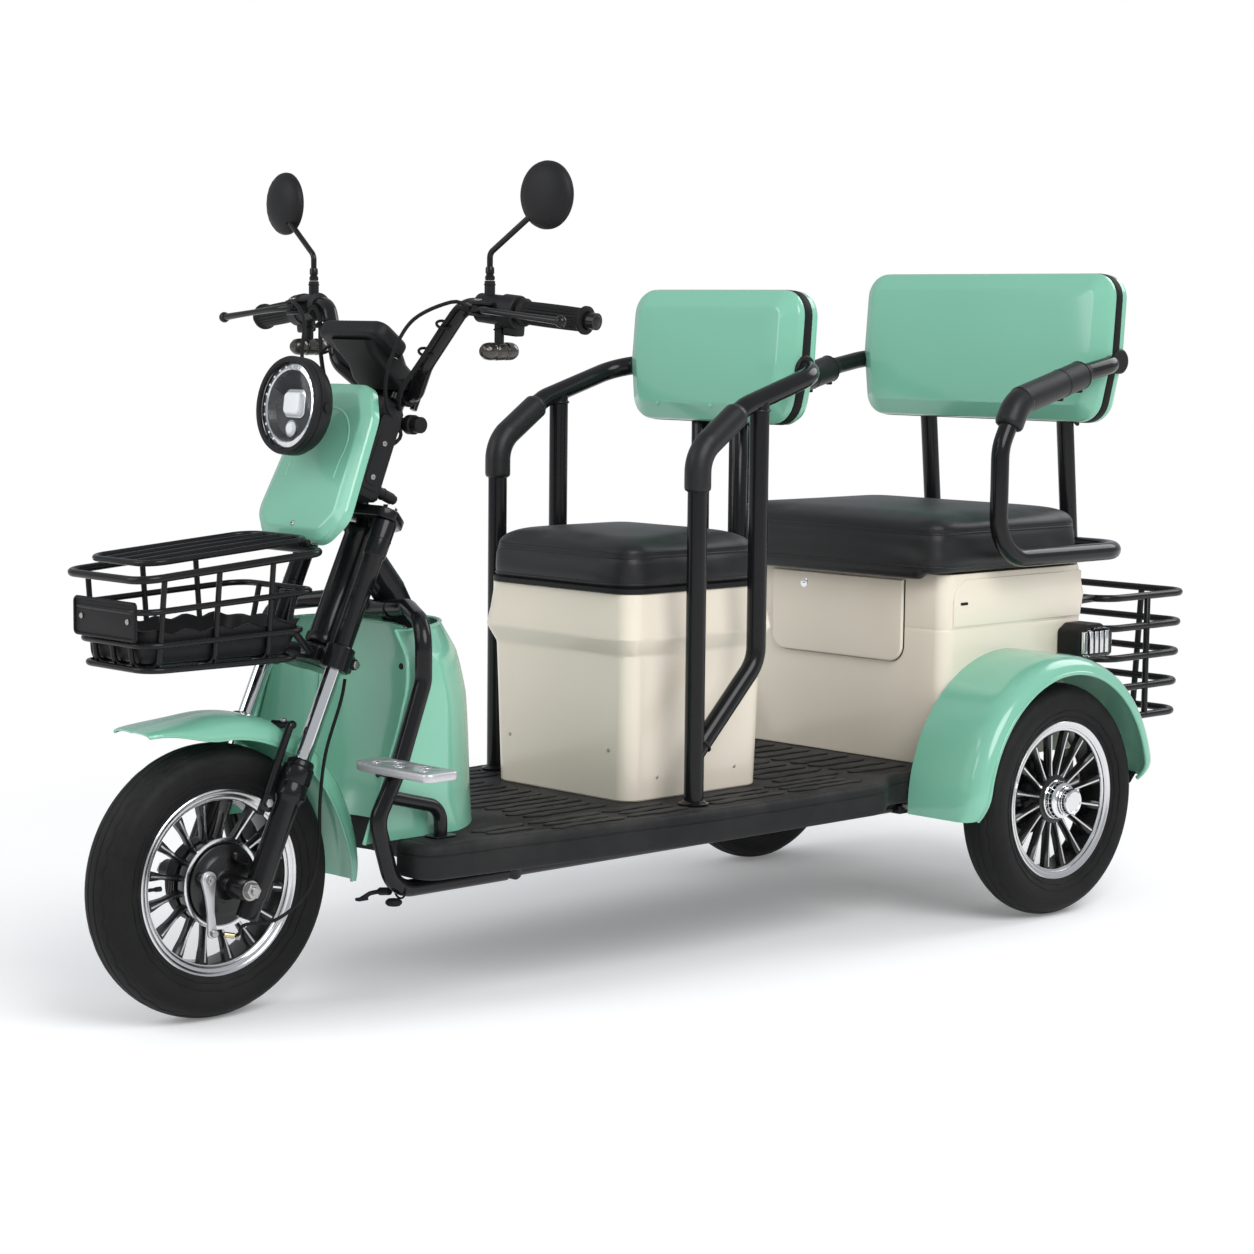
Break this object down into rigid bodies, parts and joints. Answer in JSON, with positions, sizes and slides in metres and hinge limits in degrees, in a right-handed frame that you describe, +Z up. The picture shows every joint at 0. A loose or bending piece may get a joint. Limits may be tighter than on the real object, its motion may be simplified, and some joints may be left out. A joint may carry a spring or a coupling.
{
  "type": "electric passenger tricycle",
  "caption": "Electric passenger tricycle with a raked sprung front fork, wire baskets, a flat deck, a boxed driver seat and a rear bench between padded arm frames.",
  "frame": {"origin": "on the ground under the middle of the overall box", "axes": "+X forward, +Y to the rider's left, +Z up"},
  "size_m": [2.3595, 0.8264, 1.265],
  "materials": {
    "mint_panel": "gloss mint green moulded panel",
    "cream_panel": "gloss cream moulded panel",
    "black_paint": "gloss black paint on steel tube",
    "black_wire": "gloss black coated wire",
    "spring_steel": "black painted spring steel",
    "black_alloy": "gloss black cast wheel",
    "bright_alloy": "bare bright alloy",
    "lever_alloy": "black lever",
    "chrome_tube": "hard chrome fork tube",
    "tyre_rubber": "black tyre rubber",
    "grip_rubber": "soft black rubber",
    "black_plastic": "matt black moulding",
    "deck_plastic": "charcoal textured moulding",
    "black_leatherette": "black leatherette",
    "lamp_lens": "clear lamp lens"
  },
  "bodies": {
    "chassis": {"main_frame": "black_paint", "crash_bar": "black_paint", "leg_shield": "mint_panel", "floor_deck": "deck_plastic", "front_seat_box": "cream_panel", "front_seat_frame": "black_paint", "front_arm_pad_left": "grip_rubber", "front_arm_pad_right": "grip_rubber", "front_backrest": "mint_panel", "rear_body": "cream_panel", "rear_seat_frame": "black_paint", "rear_arm_pad_left": "grip_rubber", "rear_arm_pad_right": "grip_rubber", "rear_backrest": "mint_panel", "rear_fender_left": "mint_panel", "rear_fender_right": "mint_panel", "rear_lamp_left": "black_plastic", "rear_lamp_right": "black_plastic", "rear_basket": "black_wire", "battery_pack": "black_plastic", "leaf_spring_left": "spring_steel", "leaf_spring_right": "spring_steel"},
    "front_seat": {"front_seat_cushion": "black_leatherette"},
    "rear_seat": {"rear_seat_cushion": "black_leatherette"},
    "hatch_door": {"rear_hatch": "cream_panel"},
    "foot_brake": {"brake_pedal": "bright_alloy"},
    "axle_group": {"rear_axle": "black_paint"},
    "wheel_rear_left": {"rear_tyre_left": "tyre_rubber", "rear_rim_left": "black_alloy"},
    "wheel_rear_right": {"rear_tyre_right": "tyre_rubber", "rear_rim_right": "black_alloy"},
    "steering": {"lower_yoke": "black_paint", "top_yoke": "black_paint", "stanchion_left": "chrome_tube", "stanchion_right": "chrome_tube", "column_housing": "black_plastic", "front_panel": "mint_panel", "headlamp_housing": "black_plastic", "headlamp_lens": "lamp_lens", "handlebar": "black_paint", "display_pod": "black_plastic", "control_left": "black_plastic", "control_right": "black_plastic", "grip_left": "grip_rubber", "front_basket": "black_wire", "basket_liner": "black_plastic"},
    "lid": {"basket_lid": "black_wire"},
    "mirror_l": {"mirror_left": "black_plastic"},
    "mirror_r": {"mirror_right": "black_plastic"},
    "throttle": {"throttle_grip": "grip_rubber"},
    "lever_l": {"brake_lever_left": "lever_alloy"},
    "lever_r": {"brake_lever_right": "lever_alloy"},
    "fork_lowers": {"fork_lower_left": "black_paint", "fork_lower_right": "black_paint", "front_brake_plate": "black_paint", "front_mudguard": "mint_panel", "front_brake_cable": "grip_rubber"},
    "wheel_front": {"front_tyre": "tyre_rubber", "front_rim": "black_alloy"},
    "brake_arm": {"front_brake_arm": "bright_alloy"}
  },
  "joints": [
    {"name": "steering_turn", "type": "hinge", "parent": "chassis", "child": "steering", "pos_m": [0.80145, 0, 0.45056], "axis": [-0.4147, 0, 0.91], "range_deg": [-35, 35]},
    {"name": "fork_slide", "type": "slide", "parent": "steering", "child": "fork_lowers", "axis": [-0.4147, 0, 0.91], "range_m": [-0.02, 0.04], "stiffness_N_per_m": 30000, "springref_m": -0.01973, "deforming": ["front_brake_cable"]},
    {"name": "front_wheel_spin", "type": "hinge", "parent": "fork_lowers", "child": "wheel_front", "pos_m": [0.97475, 0, 0.20501], "axis": [0, 1, 0], "continuous": true},
    {"name": "front_brake_arm_turn", "type": "hinge", "parent": "fork_lowers", "child": "brake_arm", "pos_m": [1.01575, 0.0555, 0.21901], "axis": [0, 1, 0], "range_deg": [0, 25]},
    {"name": "rear_suspension", "type": "slide", "parent": "chassis", "child": "axle_group", "axis": [0, 0, 1], "range_m": [-0.02, 0.03], "stiffness_N_per_m": 60000, "springref_m": -0.0275, "deforming": ["leaf_spring_left", "leaf_spring_right"]},
    {"name": "rear_wheel_left_spin", "type": "hinge", "parent": "axle_group", "child": "wheel_rear_left", "pos_m": [-0.57425, 0.3545, 0.20501], "axis": [0, 1, 0], "continuous": true},
    {"name": "rear_wheel_right_spin", "type": "hinge", "parent": "axle_group", "child": "wheel_rear_right", "pos_m": [-0.57425, -0.3545, 0.20501], "axis": [0, 1, 0], "continuous": true},
    {"name": "throttle_twist", "type": "hinge", "parent": "steering", "child": "throttle", "pos_m": [0.60113, -0.27256, 1.04569], "axis": [-0.1874, -0.9778, -0.0937], "range_deg": [0, 70], "stiffness_Nm_per_rad": 0.25, "springref_deg": -11.46},
    {"name": "brake_lever_left_squeeze", "type": "hinge", "parent": "steering", "child": "lever_l", "pos_m": [0.64638, 0.22238, 1.0505], "axis": [0, 0.0954, 0.9954], "range_deg": [0, 12], "stiffness_Nm_per_rad": 2, "springref_deg": -2.86},
    {"name": "brake_lever_right_squeeze", "type": "hinge", "parent": "steering", "child": "lever_r", "pos_m": [0.64638, -0.22238, 1.0505], "axis": [0, 0.0954, -0.9954], "range_deg": [0, 12], "stiffness_Nm_per_rad": 2, "springref_deg": -2.86},
    {"name": "mirror_left_swivel", "type": "hinge", "parent": "steering", "child": "mirror_l", "pos_m": [0.61312, 0.21198, 1.09209], "axis": [0, 0, 1], "range_deg": [-30, 30]},
    {"name": "mirror_right_swivel", "type": "hinge", "parent": "steering", "child": "mirror_r", "pos_m": [0.61312, -0.21198, 1.09209], "axis": [0, 0, 1], "range_deg": [-30, 30]},
    {"name": "basket_lid_open", "type": "hinge", "parent": "steering", "child": "lid", "pos_m": [0.82975, 0, 0.7027], "axis": [0, -1, 0], "range_deg": [0, 56]},
    {"name": "front_seat_tip", "type": "hinge", "parent": "chassis", "child": "front_seat", "pos_m": [0.29075, 0, 0.6012], "axis": [0, 1, 0], "range_deg": [0, 80]},
    {"name": "rear_seat_tip", "type": "hinge", "parent": "chassis", "child": "rear_seat", "pos_m": [-0.36025, 0, 0.5903], "axis": [0, 1, 0], "range_deg": [0, 75]},
    {"name": "rear_hatch_open", "type": "hinge", "parent": "chassis", "child": "hatch_door", "pos_m": [-0.40125, 0, 0.44], "axis": [0, 1, 0], "range_deg": [0, 90]},
    {"name": "brake_pedal_press", "type": "hinge", "parent": "chassis", "child": "foot_brake", "pos_m": [0.77935, 0.2605, 0.377], "axis": [0, 1, 0], "range_deg": [0, 20], "stiffness_Nm_per_rad": 3, "springref_deg": -8.59}
  ],
  "couplings": [
    {"joint": "front_brake_arm_turn", "follows": "brake_lever_right_squeeze", "ratio": 2}
  ]
}
